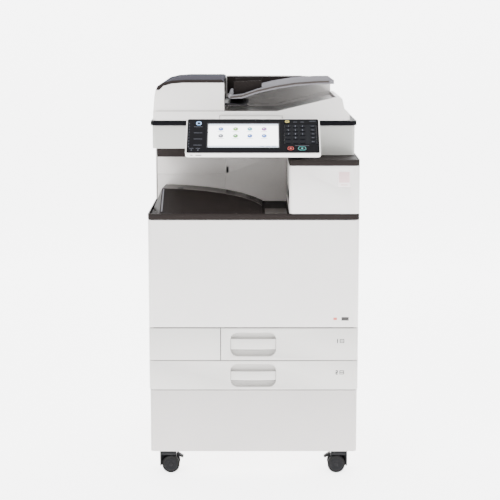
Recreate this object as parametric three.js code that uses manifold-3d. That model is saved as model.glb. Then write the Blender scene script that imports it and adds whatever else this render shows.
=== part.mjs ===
// Floor-standing colour photocopier: caster cabinet, two paper trays, print engine, output tray,
// flatbed scanner, automatic document feeder and a tilting operation panel.
// Millimetres, +Z up. X runs left to right, Y front to back. The origin is on the floor, at the
// middle of the machine's outline.
import * as THREE from "three";
import { mergeVertices } from "three/addons/utils/BufferGeometryUtils.js";
import Module from "manifold-3d";

// ---------------------------------------------------------------- driving dimensions
const WIDTH = 587; // across the covers
const BODY_DEPTH = 600; // front covers to rear cover
const PANEL_REACH = 85; // operation panel, in front of the front covers
const SEAM = 2; // gap between neighbouring covers
const FIT = 0.5; // gap between pieces that touch
const COVER = 3; // wall of a moulded cover
const SHEET = 2; // steel plate of the engine frame
const FRONT_PANEL = 22; // thickness of a tray front or the front cover

const CASTER_HEIGHT = 70;
const CABINET_HEIGHT = 178;
const CABINET_WALL = 4;
const TRAY_2_HEIGHT = 83; // height of each tray front
const TRAY_1_HEIGHT = 91;
const BAY_WIDTH = 200; // fixed panel beside tray 1
const FRONT_COVER_HEIGHT = 304;
const DECK_HEIGHT = 15; // dark band between front cover and exit tower
const TOWER_HEIGHT = 133;
const LID_HEIGHT = 16;
const SCANNER_HEIGHT = 84;
const SCANNER_FRAME_HEIGHT = 13;
const FEEDER_BASE_HEIGHT = 26;
const FEEDER_HEIGHT = 90; // feed housing with its top cover

const TOWER_WIDTH = 194.5; // exit tower, at the right
const SCANNER_SETBACK = 140; // scanner front, behind the front covers
const CAVITY_DEPTH = 350; // output cavity, front covers to inner wall
const FEEDER_WIDTH = 567; // document feeder base
const FEED_HOUSING_WIDTH = 210; // raised feed unit at the feeder's left
const CORNER = 12; // rounding of the upright corners

// ---------------------------------------------------------------- places that follow
const HALF = WIDTH / 2;
const FRONT = -(BODY_DEPTH + PANEL_REACH) / 2 + PANEL_REACH;
const REAR = FRONT + BODY_DEPTH;
const Z_CABINET = CASTER_HEIGHT;
const Z_TRAY_2 = Z_CABINET + CABINET_HEIGHT + SEAM;
const Z_TRAY_1 = Z_TRAY_2 + TRAY_2_HEIGHT + SEAM;
const Z_COVER = Z_TRAY_1 + TRAY_1_HEIGHT + SEAM;
const Z_DECK = Z_COVER + FRONT_COVER_HEIGHT + SEAM;
const Z_TOWER = Z_DECK + DECK_HEIGHT + FIT;
const Z_LID = Z_TOWER + TOWER_HEIGHT + FIT;
const Z_SCANNER = Z_LID + LID_HEIGHT + FIT;
const Z_GLASS = Z_SCANNER + SCANNER_HEIGHT + FIT + SCANNER_FRAME_HEIGHT; // scanner's top face
const Z_FEEDER = Z_GLASS + 1;
const Z_HOUSING = Z_FEEDER + FEEDER_BASE_HEIGHT + FIT;
const Z_TOP = Z_HOUSING + FEEDER_HEIGHT;
const TOWER_X = HALF - TOWER_WIDTH;
const SCAN_FRONT = FRONT + SCANNER_SETBACK;
const WALL_Y = FRONT + CAVITY_DEPTH;
const FRAME_HALF = HALF - COVER - 5.5; // engine frame, inside the side covers
const HOUSING_RIGHT = -HALF + FEED_HOUSING_WIDTH;
const TRAY_1_X = [-HALF + BAY_WIDTH + SEAM, HALF];

// ---------------------------------------------------------------- materials
const paint = (color, roughness, metalness = 0) => new THREE.MeshStandardMaterial({ color, roughness, metalness });
const WHITE = paint(0xe6e5e3, 0.5);
const GREY = paint(0x86858c, 0.45);
const DARK = paint(0x3c3937, 0.5);
const BLACK = paint(0x1b1c22, 0.3);
const STEEL = paint(0xa9acae, 0.4, 0.9);
const RUBBER = paint(0x202020, 0.8);
const GLASS = paint(0xbfd0cf, 0.05);
const SCREEN = paint(0xf4f6f8, 0.15);
const PAD = paint(0xf2f2f0, 0.9);
const KEY = paint(0x2a2b33, 0.4);
const GREEN = paint(0x1f7a6a, 0.4);
const RED = paint(0xa8382e, 0.4);
const YELLOW = paint(0xd6bd2c, 0.4);
const CYAN = paint(0x2b8fc0, 0.5);
const MAGENTA = paint(0xb8306f, 0.5);

// ---------------------------------------------------------------- solids
const wasm = await Module();
wasm.setup();

function solid(geometry) {
  const bare = geometry.clone();
  bare.deleteAttribute("normal");
  bare.deleteAttribute("uv");
  const merged = mergeVertices(bare, 1e-4);
  return new wasm.Manifold(
    new wasm.Mesh({
      numProp: 3,
      vertProperties: new Float32Array(merged.attributes.position.array),
      triVerts: new Uint32Array(merged.index.array),
    }),
  );
}

function geometryOf(shape) {
  const mesh = shape.getMesh();
  const geometry = new THREE.BufferGeometry();
  geometry.setAttribute("position", new THREE.BufferAttribute(new Float32Array(mesh.vertProperties), 3));
  geometry.setIndex(new THREE.BufferAttribute(new Uint32Array(mesh.triVerts), 1));
  const flat = geometry.toNonIndexed();
  flat.computeVertexNormals();
  return flat;
}

const join = (first, ...rest) => rest.reduce((all, one) => all.add(one), first);
const cut = (first, ...rest) => rest.reduce((all, one) => all.subtract(one), first);
const meet = (first, ...rest) => rest.reduce((all, one) => all.intersect(one), first);

// A box between two values on each axis.
function box([x0, x1], [y0, y1], [z0, z1]) {
  const geometry = new THREE.BoxGeometry(x1 - x0, y1 - y0, z1 - z0);
  return solid(geometry.translate((x0 + x1) / 2, (y0 + y1) / 2, (z0 + z1) / 2));
}

// A rectangle with round corners, as a shape with arcs.
function roundRect([a0, a1], [b0, b1], r) {
  const shape = new THREE.Shape();
  shape.moveTo(a0 + r, b0);
  shape.absarc(a1 - r, b0 + r, r, -Math.PI / 2, 0);
  shape.absarc(a1 - r, b1 - r, r, 0, Math.PI / 2);
  shape.absarc(a0 + r, b1 - r, r, Math.PI / 2, Math.PI);
  shape.absarc(a0 + r, b0 + r, r, Math.PI, Math.PI * 1.5);
  return shape;
}

const outline = (points) => new THREE.Shape(points.map(([a, b]) => new THREE.Vector2(a, b)));

function extrude(shape, depth, steps) {
  return new THREE.ExtrudeGeometry(shape, { depth, bevelEnabled: false, curveSegments: steps });
}

// A shape drawn in XY, raised between two heights.
const alongZ = (shape, [z0, z1], steps = 4) => solid(extrude(shape, z1 - z0, steps).translate(0, 0, z0));
// A shape drawn in XZ, run between two depths.
const alongY = (shape, [y0, y1], steps = 4) =>
  solid(extrude(shape, y1 - y0, steps).rotateX(Math.PI / 2).translate(0, y1, 0));
// A shape drawn in YZ, run between two X values.
function alongX(shape, [x0, x1], steps = 4) {
  const turn = new THREE.Matrix4().makeBasis(
    new THREE.Vector3(0, 1, 0),
    new THREE.Vector3(0, 0, 1),
    new THREE.Vector3(1, 0, 0),
  );
  return solid(extrude(shape, x1 - x0, steps).applyMatrix4(turn).translate(x0, 0, 0));
}

// A rectangle whose two front corners are rounded, each by its own radius.
function frontPlan([x0, x1], [y0, y1], left, right) {
  const shape = new THREE.Shape();
  shape.moveTo(x1, y1);
  shape.lineTo(x0, y1);
  shape.absarc(x0 + left, y0 + left, left, Math.PI, Math.PI * 1.5);
  shape.absarc(x1 - right, y0 + right, right, -Math.PI / 2, 0);
  return shape;
}

const block = (xs, ys, zs, r) => alongZ(roundRect(xs, ys, r), zs); // round upright edges
const facia = (xs, ys, zs, r) => alongY(roundRect(xs, zs, r), ys); // round corners seen from the front

// A round bar along an axis ("x", "y" or "z") through the point [a, b] of the other two axes.
function bar(axis, [from, to], [a, b], radius, sides = 16) {
  const geometry = new THREE.CylinderGeometry(radius, radius, to - from, sides);
  const middle = (from + to) / 2;
  if (axis === "x") geometry.rotateZ(Math.PI / 2).translate(middle, a, b);
  if (axis === "y") geometry.translate(a, middle, b);
  if (axis === "z") geometry.rotateX(Math.PI / 2).translate(a, b, middle);
  return solid(geometry);
}

// A closed skin over equal cross-sections, each a list of [x, y, z] corners.
function loft(sections) {
  const count = sections[0].length;
  const faces = [];
  for (let s = 0; s + 1 < sections.length; s++)
    for (let i = 0; i < count; i++) {
      const [a, b] = [s * count + i, s * count + ((i + 1) % count)];
      faces.push(a, b, b + count, a, b + count, a + count);
    }
  const last = (sections.length - 1) * count;
  for (let i = 1; i + 1 < count; i++) faces.push(0, i + 1, i, last, last + i, last + i + 1);
  const geometry = new THREE.BufferGeometry();
  geometry.setAttribute("position", new THREE.BufferAttribute(new Float32Array(sections.flat(2)), 3));
  geometry.setIndex(faces);
  return solid(geometry);
}

// ---------------------------------------------------------------- the assembly
const copier = new THREE.Group();

function add(name, shape, material) {
  const mesh = new THREE.Mesh(geometryOf(shape), material);
  mesh.name = name;
  copier.add(mesh);
}

// ---------------------------------------------------------------- casters
const WHEEL_RADIUS = 25;
const WHEEL_WIDTH = 14;
const WEB_WIDTH = 16; // caster body between its two wheels
const CASTER_TRAIL = 18;
const CASTER_X = HALF - 39.5; // swivel axes
const CASTER_Y = [FRONT + 46, REAR - 66];
const CASTER_PAD = 6; // mounting pad under the cabinet

// A twin-wheel caster. "toward" is the side of the swivel axis on which its wheels trail.
function caster(tag, x, y, toward, braked) {
  const axle = x + toward * CASTER_TRAIL;
  const top = CASTER_HEIGHT - CASTER_PAD - FIT;
  const half = WEB_WIDTH / 2 + WHEEL_WIDTH + 2;
  const span = (a, b) => [x + toward * a, x + toward * b].sort((p, q) => p - q);
  const profile = [[-13, 21], [-2, 13], [24, 13], [33, 30], [33, top - 1], [-13, top - 1]];
  const web = alongY(outline(profile.map(([a, z]) => [x + toward * a, z])), [y - WEB_WIDTH / 2, y + WEB_WIDTH / 2]);
  const hood = box(span(-13, 33), [y - half, y + half], [top - 11, top - 1]);
  const fender = box(span(-13, -9), [y - half, y + half], [21, top - 5]);
  const neck = bar("z", [top - 2, top], [x, y], 12);
  const bore = bar("y", [y - half, y + half], [axle, WHEEL_RADIUS], 4.6);
  add(`caster_body_${tag}`, cut(join(web, hood, fender, neck), bore), BLACK);

  const near = WEB_WIDTH / 2 + 1;
  const far = near + WHEEL_WIDTH;
  const wheels = [[-far, -near], [near, far]].map(([a, b]) =>
    bar("y", [y + a, y + b], [axle, WHEEL_RADIUS], WHEEL_RADIUS, 28),
  );
  const pin = bar("y", [y - near - 2, y + near + 2], [axle, WHEEL_RADIUS], 4);
  add(`caster_wheels_${tag}`, join(pin, ...wheels), RUBBER);

  if (!braked) return;
  const lever = [[34.5, top - 7], [34.5, top - 15], [50, top - 24], [54, top - 20]];
  add(`brake_lever_${tag}`, alongY(outline(lever.map(([a, z]) => [x + toward * a, z])), [y - 9, y + 9]), BLACK);
}

caster("front_left", -CASTER_X, CASTER_Y[0], 1, true);
caster("front_right", CASTER_X, CASTER_Y[0], -1, true);
caster("rear_left", -CASTER_X, CASTER_Y[1], 1, false);
caster("rear_right", CASTER_X, CASTER_Y[1], -1, false);

// ---------------------------------------------------------------- cabinet and engine frame
const cabinetWall = [-HALF + 2 + CABINET_WALL, HALF - 2 - CABINET_WALL];
const cabinet = alongZ(
  frontPlan([-HALF + 2, HALF - 2], [FRONT + 1, REAR], CORNER, CORNER),
  [Z_CABINET, Z_TRAY_2 - SEAM],
);
const hollow = block(
  cabinetWall,
  [FRONT + 1 + CABINET_WALL, REAR - CABINET_WALL],
  [Z_CABINET + CABINET_WALL, Z_TRAY_2],
  CORNER - CABINET_WALL,
);
const pads = [-CASTER_X, CASTER_X].flatMap((x) =>
  CASTER_Y.map((y) => bar("z", [Z_CABINET - CASTER_PAD, Z_CABINET + 1], [x, y], WEB_WIDTH)),
);
add("cabinet_shell", cut(join(cabinet, ...pads), hollow), WHITE);

const REAR_PLATE = [REAR - 34, REAR - 34 + SHEET];
const FRONT_PLATE = [FRONT + 34, FRONT + 34 + SHEET];
const FRAME_TOP = Z_SCANNER - 2;
const DECK_TOP = Z_DECK + DECK_HEIGHT;
const wide = [-FRAME_HALF, FRAME_HALF];
const between = [FRONT + FRONT_PANEL + 4, REAR_PLATE[1]];
const plates = [
  box(wide, between, [Z_TRAY_2 - SEAM + FIT, Z_TRAY_2 - SEAM + FIT + SHEET]),
  box(wide, between, [Z_TRAY_1 - SHEET / 2, Z_TRAY_1 + SHEET / 2]),
  box(wide, [FRONT_PLATE[0], REAR_PLATE[1]], [Z_COVER, Z_COVER + SHEET]),
  box(wide, REAR_PLATE, [Z_TRAY_2 - SEAM + FIT, FRAME_TOP]),
  box([-FRAME_HALF, -FRAME_HALF + SHEET], between, [Z_TRAY_2 - SEAM + FIT, Z_DECK - 1]),
  box([-FRAME_HALF, -FRAME_HALF + SHEET], [WALL_Y + 5, REAR_PLATE[1]], [Z_DECK - 2, FRAME_TOP]),
  box([FRAME_HALF - SHEET, FRAME_HALF], between, [Z_TRAY_2 - SEAM + FIT, Z_COVER + SHEET]),
  box([TRAY_1_X[0] - SEAM, TRAY_1_X[0] - SEAM + SHEET], between, [Z_TRAY_1, Z_COVER + SHEET]),
];
const engineFront = box(wide, FRONT_PLATE, [Z_COVER, Z_DECK - 1]);
const engineWindow = box([-FRAME_HALF + 30, HALF - 84], [FRONT, FRONT_PLATE[1] + 1], [Z_COVER + 22, Z_DECK - 12]);
add("engine_frame", join(cut(engineFront, engineWindow), ...plates), STEEL);

// ---------------------------------------------------------------- side and rear covers
const SIDE_FRONT = FRONT + 27;
const COVER_REAR = REAR - COVER - FIT;
add(
  "left_cover",
  join(
    box([-HALF, -HALF + COVER], [SIDE_FRONT, COVER_REAR], [Z_TRAY_2, Z_DECK - 1]),
    box([-HALF, -HALF + COVER], [WALL_Y + 5, COVER_REAR], [Z_DECK - 2, FRAME_TOP]),
  ),
  WHITE,
);

const DOOR_Y = [FRONT + 45, REAR - 60];
add(
  "right_cover",
  join(
    box([HALF - COVER, HALF], [SIDE_FRONT, COVER_REAR], [Z_TRAY_2, Z_COVER]),
    box([HALF - COVER, HALF], [SIDE_FRONT, DOOR_Y[0] - 1], [Z_COVER - 1, Z_DECK - 1]),
    box([HALF - COVER, HALF], [DOOR_Y[1] + 1, COVER_REAR], [Z_COVER - 1, FRAME_TOP]),
  ),
  WHITE,
);

const VENTS = 9;
const VENT_PITCH = 14;
const VENT_FOOT = Z_COVER + 172;
const vents = Array.from({ length: VENTS }, (_, i) =>
  box([60, 220], [REAR - COVER - 1, REAR + 1], [VENT_FOOT + i * VENT_PITCH, VENT_FOOT + 5 + i * VENT_PITCH]),
);
const INLET = { x: [-240, -206], z: [Z_TRAY_2 + 20, Z_TRAY_2 + 46] };
const inletHole = box(INLET.x, [REAR - COVER - 1, REAR + 1], INLET.z);
const rearSheet = box([-HALF, HALF], [REAR - COVER, REAR], [Z_TRAY_2, FRAME_TOP]);
add("rear_cover", cut(rearSheet, ...vents, inletHole), WHITE);

const inset = ([a, b], by) => [a + by, b - by];
const inlet = box(inset(INLET.x, FIT), [REAR - 24, REAR - 1], inset(INLET.z, FIT));
const socket = box(inset(INLET.x, 5), [REAR - 18, REAR], inset(INLET.z, 5));
const pins = [-8, 0, 8].map((dx) => {
  const x = dx + (INLET.x[0] + INLET.x[1]) / 2;
  return box([x - 1, x + 1], [REAR - 19, REAR - 4], [INLET.z[0] + 10, INLET.z[0] + 16]);
});
add("power_inlet", join(cut(inlet, socket), ...pins), BLACK);

// ---------------------------------------------------------------- paper trays
const TRAY_DEPTH = BODY_DEPTH - 100; // paper box behind a tray front
const TRAY_WALL = 2.5;
const PANEL_ROUND = 14; // rounding of the front panels' upright edges
const PULL = { x: [-65, 63], depth: 17 }; // hand recess of a tray front

// A tray is one moulding: front with a hand recess and grip bar, and an open paper box behind it.
function tray(name, frontX, corners, frontZ, recessZ, gripZ, boxX, boxZ) {
  const face = alongZ(frontPlan(frontX, [FRONT, FRONT + FRONT_PANEL], ...corners), frontZ);
  const recess = facia(PULL.x, [FRONT - 1, FRONT + PULL.depth], recessZ, 20);
  const gripFront = [-1, -0.75, -0.5, -0.25, 0, 0.25, 0.5, 0.75, 1].map((share) => {
    const middle = (PULL.x[0] + PULL.x[1]) / 2;
    return [middle + share * (PULL.x[1] - middle + 1), FRONT + 0.8 + 3.7 * share * share];
  });
  const grip = alongZ(outline([...gripFront, [PULL.x[1] + 1, FRONT + 8], [PULL.x[0] - 1, FRONT + 8]]), gripZ);
  const outer = box(boxX, [FRONT + FRONT_PANEL - 1, FRONT + FRONT_PANEL + TRAY_DEPTH], boxZ);
  const inner = box(
    inset(boxX, TRAY_WALL),
    [FRONT + FRONT_PANEL + TRAY_WALL, FRONT + FRONT_PANEL + TRAY_DEPTH - TRAY_WALL],
    [boxZ[0] + TRAY_WALL, boxZ[1] + 1],
  );
  add(name, join(cut(face, recess), grip, cut(outer, inner)), WHITE);
}

// The lift plate is hinged at the left wall of its tray and raises the stack.
function liftPlate(name, boxX, boxZ) {
  const z = boxZ[0] + TRAY_WALL + 2;
  const y = [FRONT + FRONT_PANEL + 12, FRONT + FRONT_PANEL + TRAY_DEPTH - 12];
  const plate = box([boxX[0] + 12, boxX[1] - 14], y, [z, z + 2]);
  const notch = box([boxX[1] - 80, boxX[1]], [(y[0] + y[1]) / 2 - 60, (y[0] + y[1]) / 2 + 60], [z - 1, z + 3]);
  add(name, cut(plate, notch), STEEL);
}

const TRAY_1_Z = [Z_TRAY_1, Z_TRAY_1 + TRAY_1_HEIGHT];
const TRAY_2_Z = [Z_TRAY_2, Z_TRAY_2 + TRAY_2_HEIGHT];
const BOX_1 = { x: [TRAY_1_X[0] + 6.5, HALF - 35.5], z: [TRAY_1_Z[0] + 5, TRAY_1_Z[1] - 6] };
const BOX_2 = { x: [-HALF + 35.5, HALF - 35.5], z: [TRAY_2_Z[0] + 12, TRAY_2_Z[1] - 5] };
const RECESS_1 = [TRAY_1_Z[0] + 11, TRAY_1_Z[1] - 12];
const RECESS_2 = [TRAY_2_Z[0] + 8, TRAY_2_Z[1] - 9];
const GRIP_1 = [RECESS_1[0] + 19, RECESS_1[1] - 19];
const GRIP_2 = [RECESS_2[0] + 18, RECESS_2[1] - 22];
tray("tray_1", TRAY_1_X, [1, PANEL_ROUND], TRAY_1_Z, RECESS_1, GRIP_1, BOX_1.x, BOX_1.z);
tray("tray_2", [-HALF, HALF], [PANEL_ROUND, PANEL_ROUND], TRAY_2_Z, RECESS_2, GRIP_2, BOX_2.x, BOX_2.z);
liftPlate("tray_1_lift_plate", BOX_1.x, BOX_1.z);
liftPlate("tray_2_lift_plate", BOX_2.x, BOX_2.z);

const bayPlan = frontPlan([-HALF, -HALF + BAY_WIDTH], [FRONT, FRONT + FRONT_PANEL], PANEL_ROUND, 1);
add("tray_bay_cover", alongZ(bayPlan, TRAY_1_Z), WHITE);

// ---------------------------------------------------------------- front cover, right door, bypass tray
const COVER_Z = [Z_COVER, Z_COVER + FRONT_COVER_HEIGHT];
const COVER_DEPTH = 25;
const HINGE_ROUND = 6; // bottom edge, round about the hinge axis
const coverSide = new THREE.Shape();
coverSide.moveTo(FRONT + COVER_DEPTH, COVER_Z[0]);
coverSide.lineTo(FRONT + COVER_DEPTH, COVER_Z[1]);
coverSide.lineTo(FRONT + 2, COVER_Z[1]);
coverSide.lineTo(FRONT, COVER_Z[1] - 2);
coverSide.absarc(FRONT + HINGE_ROUND, COVER_Z[0] + HINGE_ROUND, HINGE_ROUND, Math.PI, Math.PI * 1.5);
const coverPlan = frontPlan([-HALF, HALF], [FRONT, FRONT + COVER_DEPTH], PANEL_ROUND, PANEL_ROUND);
const coverHollow = block(
  [-HALF + COVER + 2, HALF - COVER - 2],
  [FRONT + COVER, FRONT + COVER_DEPTH + PANEL_ROUND],
  [COVER_Z[0] + 14, COVER_Z[1] - COVER],
  PANEL_ROUND - COVER - 1,
);
add("front_cover", cut(meet(alongZ(coverPlan, COVER_Z), alongX(coverSide, [-HALF, HALF])), coverHollow), WHITE);

const DOOR_Z = [Z_COVER + 2, FRAME_TOP - 16];
const DOOR_X = [HALF - 7.5, HALF];
const BYPASS_Y = [FRONT + 95, REAR - 105];
const BYPASS_Z = [Z_COVER + 42, Z_COVER + FRONT_COVER_HEIGHT - 42];
const doorPanel = alongY(roundRect(DOOR_X, DOOR_Z, 3), DOOR_Y, 2);
const doorGuide = box([DOOR_X[0] - 20, DOOR_X[0] + 1], inset(BYPASS_Y, -12), [BYPASS_Z[0] - 10, BYPASS_Z[1] + 12]);
const guideHollow = box(
  [DOOR_X[0] - 21, DOOR_X[0] - 4],
  inset(BYPASS_Y, 0),
  [BYPASS_Z[0] + 4, BYPASS_Z[1] - 2],
);
const bypassBay = box([DOOR_X[1] - 6, HALF + 1], BYPASS_Y, BYPASS_Z);
add("right_door", cut(join(doorPanel, doorGuide), guideHollow, bypassBay), WHITE);

const bypass = alongY(roundRect([HALF - 5.5, HALF], inset(BYPASS_Z, 1), 2), inset(BYPASS_Y, 1), 2);
const bypassGrip = box([HALF - 3, HALF + 1], [10, 70], [BYPASS_Z[1] - 18, BYPASS_Z[1] - 8]);
add("bypass_tray", cut(bypass, bypassGrip), GREY);

// ---------------------------------------------------------------- output tray and inner wall
const HUMP_RISE = 60; // output ramp above the deck, highest at its left
const HUMP_REACH = 322;
const HUMP_SHOULDER = 25; // sloped left end of the ramp
const HUMP_STEPS = 7;
const TRAY_SHELL = 3;
const LIP_Y = FRONT + 150; // front edge of the paper surface
const RAMP_END = WALL_Y - 4;
const deckFloor = Z_DECK + 8;

const rim = alongZ(frontPlan([-HALF, HALF], [FRONT, FRONT + 40], 12, 12), [Z_DECK, DECK_TOP]);
const rimHollow = box(inset([-HALF, HALF], 4), [FRONT + 26, FRONT + 41], [Z_DECK - 1, deckFloor - TRAY_SHELL]);
const deck = box([-HALF, TOWER_X - FIT], [FRONT + 20, RAMP_END], [deckFloor - TRAY_SHELL, deckFloor]);
const deckEdge = box([-HALF, -HALF + 4], [FRONT + 20, RAMP_END], [Z_DECK, DECK_TOP]);
const rimDip = box([-HALF + 4, TOWER_X - FIT], [FRONT + 9, FRONT + 41], [deckFloor, DECK_TOP + 1]);

// Height of the ramp above the deck at one X.
function rampRise(x) {
  const reach = Math.min((x + HALF) / HUMP_REACH, 1);
  return x < RAMP_X ? 2 : 1 + HUMP_RISE * (1 - reach * reach) ** 0.55;
}
const RAMP_X = -HALF + 6 + HUMP_SHOULDER;
const rampXs = Array.from({ length: HUMP_STEPS + 1 }, (_, i) => {
  const along = Math.sin((i / HUMP_STEPS) * Math.PI * 0.5);
  return RAMP_X + (HUMP_REACH - HUMP_SHOULDER - 8) * along;
});
rampXs.unshift(-HALF + 6);
function rampSections(drop) {
  return rampXs.map((x) => {
    const top = deckFloor + Math.max(rampRise(x) - drop, 0.4);
    const fall = Math.min(10, (top - deckFloor) * 0.6);
    const foot = deckFloor - TRAY_SHELL - (drop > 0 ? 1 : -1);
    return [
      [x, FRONT + 32 + drop, foot],
      [x, RAMP_END - drop, foot],
      [x, RAMP_END - drop, top - fall],
      [x, LIP_Y, top],
      [x, FRONT + 32 + drop, deckFloor],
    ];
  });
}
const ramp = loft(rampSections(0));
const rampHollow = meet(
  loft(rampSections(TRAY_SHELL)),
  box([RAMP_X + TRAY_SHELL, HALF], [FRONT, REAR], [Z_DECK - 5, Z_SCANNER]),
);
add("output_tray", cut(join(cut(join(rim, deck, deckEdge), rimHollow, rimDip), ramp), rampHollow), DARK);

const WALL_X = [-HALF + 5, TOWER_X - FIT];
const wallSheet = box(WALL_X, [WALL_Y, WALL_Y + SHEET], [Z_DECK + 1, Z_SCANNER - 9]);
const wallSeams = [
  box([-87, -85], [WALL_Y - 1, WALL_Y + 1], [Z_DECK, Z_SCANNER]),
  box([-HALF, -85], [WALL_Y - 1, WALL_Y + 1], [Z_SCANNER - 77.5, Z_SCANNER - 75.5]),
  box([-82, -75], [WALL_Y - 1, WALL_Y + SHEET + 1], [Z_SCANNER - 73, Z_SCANNER - 54]),
];
add("inner_wall", cut(wallSheet, ...wallSeams), GREY);

// ---------------------------------------------------------------- exit tower
const TOWER_Z = [Z_TOWER, Z_TOWER + TOWER_HEIGHT];
const LID_Z = [Z_LID, Z_LID + LID_HEIGHT];
const TOWER_Y = [FRONT + 1, WALL_Y - 1];
const EXIT_Y = [FRONT + 42, WALL_Y - 12];
const towerPlan = frontPlan([TOWER_X, HALF], TOWER_Y, 10, 12);
const towerInside = block([TOWER_X + COVER, HALF - COVER], [FRONT + 1 + COVER, REAR], [TOWER_Z[0] - 1, TOWER_Z[1] + 1], 8);
const sideOpen = box([HALF - COVER - 1, HALF + 1], [DOOR_Y[0] - 1, REAR], [TOWER_Z[0] - 1, TOWER_Z[1] + 1]);
const exitSlot = box([TOWER_X - 1, TOWER_X + COVER + 1], EXIT_Y, [Z_DECK + 30, Z_DECK + 72]);
const labelSeat = facia([HALF - 61.5, HALF - 25.5], [FRONT, FRONT + 2], [TOWER_Z[0] + 73, TOWER_Z[1] - 13], 2);
add("exit_tower_cover", cut(alongZ(towerPlan, TOWER_Z), towerInside, sideOpen, exitSlot, labelSeat), WHITE);

const lidPlan = frontPlan([TOWER_X, HALF], [FRONT, WALL_Y - 1], 14, 18);
const lidInside = block(inset([TOWER_X, HALF], COVER), inset([FRONT, WALL_Y], COVER + 1), [LID_Z[0] - 1, LID_Z[1] - COVER], 11);
const lidDoorGap = box([DOOR_X[0] - 1, HALF + 1], [DOOR_Y[0] - 1, REAR], [LID_Z[0] - 1, LID_Z[0]]);
add("exit_tower_lid", cut(alongZ(lidPlan, LID_Z), lidInside, lidDoorGap), DARK);

// ---------------------------------------------------------------- flatbed scanner
const SCANNER_Z = [Z_SCANNER, Z_SCANNER + SCANNER_HEIGHT];
const SCAN_REAR = REAR - 5;
const CASE_X = [-HALF + 5.5, HALF - 5.5];
const UNDERSIDE = 19; // the case is shallower over the output cavity
const caseOuter = alongZ(frontPlan(CASE_X, [SCAN_FRONT, SCAN_REAR], 10, 10), SCANNER_Z);
const caseNotch = box([-HALF, TOWER_X], [FRONT, WALL_Y - 4], [Z_SCANNER - 1, Z_SCANNER + UNDERSIDE]);
const caseInner = box(
  inset(CASE_X, COVER),
  inset([SCAN_FRONT, SCAN_REAR], COVER),
  [Z_SCANNER + UNDERSIDE + COVER, SCANNER_Z[1] + 1],
);
const rails = [SCAN_FRONT + 14, SCAN_REAR - 20].map((y) =>
  box(inset(CASE_X, 1), [y, y + 5], [Z_SCANNER + UNDERSIDE + COVER - 1, Z_SCANNER + 46]),
);
add("scanner_case", join(cut(caseOuter, caseNotch, caseInner), ...rails), WHITE);

const STEP_X = [-HALF + 17.5, TOWER_X - 1];
const stepSide = outline([
  [FRONT + 155, Z_SCANNER + UNDERSIDE - FIT],
  [FRONT + 172, Z_SCANNER - 8],
  [WALL_Y - 6, Z_SCANNER - 8],
  [WALL_Y - 6, Z_SCANNER + UNDERSIDE - FIT],
]);
const stepPocket = box(inset(STEP_X, COVER), [FRONT + 185, WALL_Y - 12], [Z_SCANNER - 9, Z_SCANNER + 14]);
add("cavity_ceiling", cut(alongX(stepSide, STEP_X), stepPocket), DARK);

const RIM_Z = [SCANNER_Z[1] + FIT, Z_GLASS];
const GLASS_X = [-HALF + 128.5, HALF - 23.5];
const GLASS_Y = [SCAN_FRONT + 35, SCAN_REAR - 110];
const GLASS_THICKNESS = 4;
const SLIT_X = [GLASS_X[0] - 35, GLASS_X[0] - 15];
const topPlate = alongZ(frontPlan([-HALF, HALF], [SCAN_FRONT - 5, SCAN_REAR], 18, 18), RIM_Z);
const topHollow = box(inset([-HALF, HALF], 9), inset([SCAN_FRONT - 5, SCAN_REAR], 9), [RIM_Z[0] - 1, Z_GLASS - 7]);
const glassSeat = box(GLASS_X, GLASS_Y, [Z_GLASS - GLASS_THICKNESS - FIT, Z_GLASS + 1]);
const window = box(inset(GLASS_X, 5), inset(GLASS_Y, 5), [RIM_Z[0] - 1, Z_GLASS + 1]);
const slit = box(SLIT_X, GLASS_Y, [RIM_Z[0] - 1, Z_GLASS + 1]);

// The feeder turns on two pins held in the scanner frame's ears.
const PIN = { y: REAR - 30, z: Z_GLASS + 10, r: 4 };
const EAR_X = 200;
const EAR = 12; // half width of a hinge, ear to ear
const ears = [-EAR_X, EAR_X].flatMap((x) => [
  box([x - EAR - 8, x - EAR], [PIN.y - 9, PIN.y + 9], [Z_GLASS - 1, PIN.z + 7]),
  box([x + EAR, x + EAR + 8], [PIN.y - 9, PIN.y + 9], [Z_GLASS - 1, PIN.z + 7]),
  bar("x", [x - EAR - 1, x + EAR + 1], [PIN.y, PIN.z], PIN.r, 12),
]);
add("scanner_top_frame", join(cut(topPlate, topHollow, glassSeat, window, slit), ...ears), DARK);

const paneZ = [Z_GLASS - GLASS_THICKNESS, Z_GLASS - 0.1];
add("exposure_glass", box(inset(GLASS_X, FIT), inset(GLASS_Y, FIT), paneZ), GLASS);

const CARRIAGE_X = [-HALF + 61.5, -HALF + 101.5];
const CARRIAGE_Z = [Z_SCANNER + 49, Z_SCANNER + 74];
const carriage = box(CARRIAGE_X, [SCAN_FRONT + 12, SCAN_REAR - 12], CARRIAGE_Z);
const lampSlot = box(inset(CARRIAGE_X, 13), [SCAN_FRONT + 30, SCAN_REAR - 30], [CARRIAGE_Z[1] - 6, CARRIAGE_Z[1] + 1]);
const shoes = [SCAN_FRONT + 14, SCAN_REAR - 20].map((y) =>
  box(CARRIAGE_X, [y, y + 5], [CARRIAGE_Z[0] - 2, CARRIAGE_Z[0] + 1]),
);
add("scan_carriage", join(cut(carriage, lampSlot), ...shoes), STEEL);

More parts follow.
